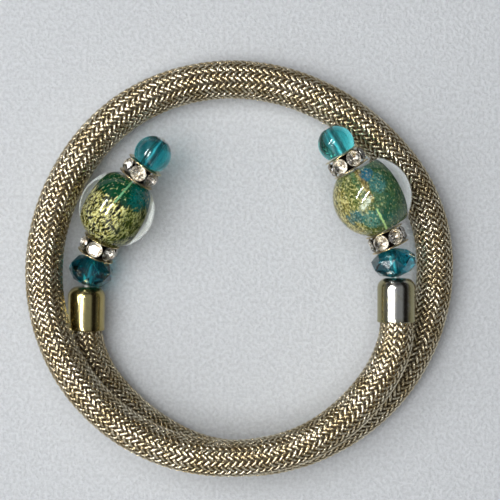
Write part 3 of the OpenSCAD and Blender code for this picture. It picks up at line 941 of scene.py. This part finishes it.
# Right core: sea-green glass, olive on its inner side and gilded at the edge there, with blotches of teal
# and fine specks of leaf all over. Along the hole run a line of gold leaf, in the outer half, and a
# yellow-green streak, in the half by the cap, with a painted shadow beside it. A ragged silvery patch
# beside them is a painted highlight.
middle, turn = place_of(1, BEAD, bead_hang)
leaf = finish("foil_core_right", ior=1.0)
aside, on = leaf.parts(leaf.spot(middle, turn))[1:]
cloud = leaf.noise(leaf.spot(middle, turn), 0.8, 4.0, 0.6) - 0.5
crumbs = leaf.noise(leaf.spot(middle, turn, (1, 1, 1.3)), 3.4, 3.0, 0.6, 0.4)
grit = leaf.noise(leaf.spot(middle, turn), 6.0, 1.0)
blotches = [
    # aside, along, radius, colour
    (2.8, -1.1, 1.3, (0.022, 0.11, 0.13)),
    (1.0, -2.4, 1.7, (0.04, 0.16, 0.13)),
    (-0.9, 3.6, 1.2, (0.015, 0.12, 0.21)),
    (-1.8, 1.7, 1.4, (0.05, 0.18, 0.17)),
    (-1.4, -3.0, 1.0, (0.02, 0.10, 0.07)),
]
blotch_grain = 1.7
sheen_at, sheen_lean = 0.96, math.radians(22.2)
gilded = (aside * 0.5 + cloud * 4.0).step(-0.2, 0.7)
ground = leaf.mix(cloud.step(-0.06, 0.06), (0.10, 0.21, 0.085), (0.04, 0.135, 0.075))
ground = leaf.mix(grit.step(0.5, 0.38) * 0.8, ground, (0.025, 0.075, 0.04))
olive = leaf.mix(grit.step(0.42, 0.58), (0.09, 0.115, 0.02), (0.22, 0.24, 0.055))
ground = leaf.mix(gilded * 0.9, ground, olive)
rim = (aside + cloud * 2.5).step(2.5, 3.4)
vein = abs(aside + cloud * 2.0 + 0.1).step(0.5, 0.2) * on.step(-0.6, 0.2)
gilding = leaf.mix(grit.step(0.4, 0.6), (0.30, 0.23, 0.05), (0.56, 0.45, 0.12))
ground = leaf.mix(rim * 0.85, ground, gilding)
rich = gilded * 0.5 + rim * 0.3 + vein * 0.6
for aside_at, on_at, reach, rgb in blotches:
    away = (aside - aside_at) ** 2.0 + (on - on_at) ** 2.0
    patch = (away + cloud * 5.0).step(reach**2, reach**2 * 0.3)
    grainy = leaf.mix(grit.step(0.4, 0.6), rgb, tuple(blotch_grain * v for v in rgb))
    ground = leaf.mix(patch * 0.9, ground, grainy)
    rich = rich * (1.0 - patch * 0.8)
ground = leaf.mix(vein * 0.7, ground, (0.36, 0.20, 0.02))
flake = (crumbs + rich * 0.08 - 0.035).step(0.555, 0.575)
pit = (crumbs - rich * 0.07 + 0.01).step(0.42, 0.40) * 0.85
tone = leaf.mix(pit, ground, (0.035, 0.055, 0.012))
speck = leaf.mix(grit.step(0.45, 0.6), (0.50, 0.44, 0.13), (0.92, 0.88, 0.50))
tone = leaf.mix(flake * (rich * 0.6 + 0.5), tone, speck)
long_way = (sheen_at - aside) * math.cos(sheen_lean) + on * math.sin(sheen_lean)
short_way = (aside - sheen_at) * math.sin(sheen_lean) + on * math.cos(sheen_lean)
torn = (crumbs + grit - 1.0) * 7.0
# painted highlight: a ragged silvery patch where the leaf catches the light
painted_sheen = (short_way * short_way * 6.0 + long_way * long_way * 0.6 + torn).step(0.7, 0.4)
tone = leaf.mix(painted_sheen, tone, (0.78, 0.82, 0.68))
streak = abs(aside + 0.1 + (crumbs - 0.5) * 0.7).step(0.20, 0.08) * on.step(-1.1, -1.5)
shadow = abs(aside + 0.65).step(0.5, 0.2) * on.step(-1.2, -1.8) * on.step(-4.2, -3.0) * 0.6
tone = leaf.mix(streak * 0.9, leaf.mix(shadow, tone, (0.02, 0.10, 0.07)), (0.62, 0.85, 0.34))
dress(leaf, base_color=tone, metallic=flake * 0.3, roughness=0.5 - flake * 0.15,
      normal=leaf.bump(crumbs, 0.15))
barrel = threaded(cased_core(1), middle, turn)
core = grid_surface("foil_core_right", barrel, leaf, closed=(True, True), crisp=50)
fit(core, "green_foil_glass", "foil_core_right")


# The tip beads: small round pressed beads of clear teal glass, one on each end. The last bit of the wire
# is glued in the frosted hole and stands out a little.
tip_d = (6.05, 5.9)
tip_edge = 0.25
tip_frosted_rgb = (0.30, 0.48, 0.52)
tip_colours = (((0.008, 0.20, 0.25), (0.05, 0.46, 0.50)), ((0.03, 0.38, 0.42), (0.11, 0.66, 0.69)))
for s in (0, 1):
    middle, turn = place_of(s, TIP)
    tip_glass = finish(f"teal_glass_{sides[s]}", transmission_weight=1.0, ior=1.52)
    drilled = frosting(tip_glass, middle, turn)
    swirl = tip_glass.noise(tip_glass.spot(middle, turn, (1, 1, 2)), 0.35, 2.0, bend=0.5)
    tint = tip_glass.mix(swirl.step(0.35, 0.65), *tip_colours[s])
    dress(tip_glass, base_color=tip_glass.mix(drilled, tint, tip_frosted_rgb), roughness=drilled * 0.5)
    profile = round_outline(tip_d[s], tip_near[s], tip_far, tip_edge, hole_r)
    ball = threaded(turned(profile, bead_sides), middle, turn)
    bead = grid_surface(f"tip_bead_{sides[s]}", ball, tip_glass, closed=(True, True), crisp=40)
    fit(bead, "teal_glass", f"tip_bead_{sides[s]}")
